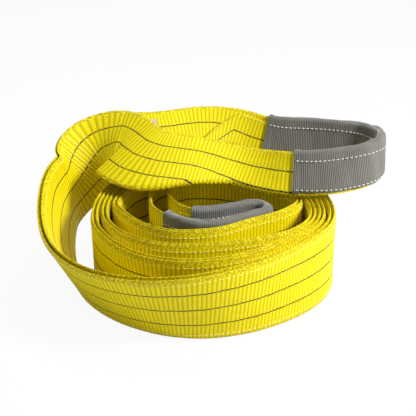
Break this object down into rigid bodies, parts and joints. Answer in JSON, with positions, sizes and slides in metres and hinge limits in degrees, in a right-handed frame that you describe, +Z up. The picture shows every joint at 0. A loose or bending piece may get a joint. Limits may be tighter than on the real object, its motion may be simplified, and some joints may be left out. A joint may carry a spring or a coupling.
{
  "type": "flat web sling",
  "caption": "Two-ply flat webbing lifting sling with a folded, sleeved eye at each end, stored as a loose coil standing on one edge.",
  "frame": {"origin": "under the middle of the whole stored sling, on the surface that it stands on", "axes": "+X towards the free eye's tip, +Y to the back, +Z up"},
  "size_m": [0.3886, 0.3092, 0.1605],
  "materials": {
    "webbing": "ribbed woven polyester",
    "sleeve": "fine ribbed woven",
    "seam_thread": "matt sewing thread",
    "sleeve_thread": "matt sewing thread",
    "label": "plain woven tape"
  },
  "bodies": {
    "coil": {"core_bend_outer_ply": "webbing", "core_bend_inner_ply": "webbing", "turn_1_outer_ply": "webbing", "turn_1_inner_ply": "webbing", "turn_2_outer_ply": "webbing", "turn_2_inner_ply": "webbing", "turn_3_outer_ply": "webbing", "turn_3_inner_ply": "webbing", "turn_4_outer_ply": "webbing", "turn_4_inner_ply": "webbing", "coil_upper_seam": "seam_thread", "coil_lower_seam": "seam_thread", "core_throat_stitching": "seam_thread", "core_eye_outer_leg": "webbing", "core_eye_inner_leg": "webbing", "core_eye_outer_flex": "webbing", "core_eye_inner_flex": "webbing", "bend_outer_ply": "webbing", "bend_inner_ply": "webbing", "bend_seams": "seam_thread"},
    "free_end": {"tail_outer_ply": "webbing", "tail_inner_ply": "webbing", "tail_seams": "seam_thread", "free_throat_stitching": "seam_thread", "label_tab": "label", "free_eye_near_leg": "webbing", "free_eye_far_leg": "webbing", "free_eye_near_flex": "webbing", "free_eye_far_flex": "webbing"},
    "free_eye": {"free_eye_webbing": "webbing", "free_eye_sleeve": "sleeve", "free_eye_sleeve_upper_seam": "sleeve_thread", "free_eye_sleeve_lower_seam": "sleeve_thread"},
    "label": {"label": "label"},
    "core_eye": {"core_eye_webbing": "webbing", "core_eye_sleeve": "sleeve", "core_eye_sleeve_upper_seam": "sleeve_thread", "core_eye_sleeve_lower_seam": "sleeve_thread"}
  },
  "joints": [
    {"name": "free_end_swing", "type": "hinge", "parent": "coil", "child": "free_end", "pos_m": [-0.1733, 0.0032, 0.08], "axis": [0, 0, 1], "range_deg": [0, 50], "deforming": ["bend_outer_ply", "bend_inner_ply", "bend_seams"]},
    {"name": "free_eye_lift", "type": "hinge", "parent": "free_end", "child": "free_eye", "pos_m": [-0.022, 0.1, 0.128], "axis": [0, -1, 0], "range_deg": [0, 45], "deforming": ["free_eye_near_flex", "free_eye_far_flex"]},
    {"name": "label_flap", "type": "hinge", "parent": "free_end", "child": "label", "pos_m": [-0.0915, 0.1089, 0.1331], "axis": [0.0496, 0.7811, 0.6224], "range_deg": [-12, 0]},
    {"name": "core_eye_lift", "type": "hinge", "parent": "coil", "child": "core_eye", "pos_m": [-0.065, 0.02, 0.0675], "axis": [0, -1, 0], "range_deg": [0, 40], "deforming": ["core_eye_outer_flex", "core_eye_inner_flex"]}
  ]
}
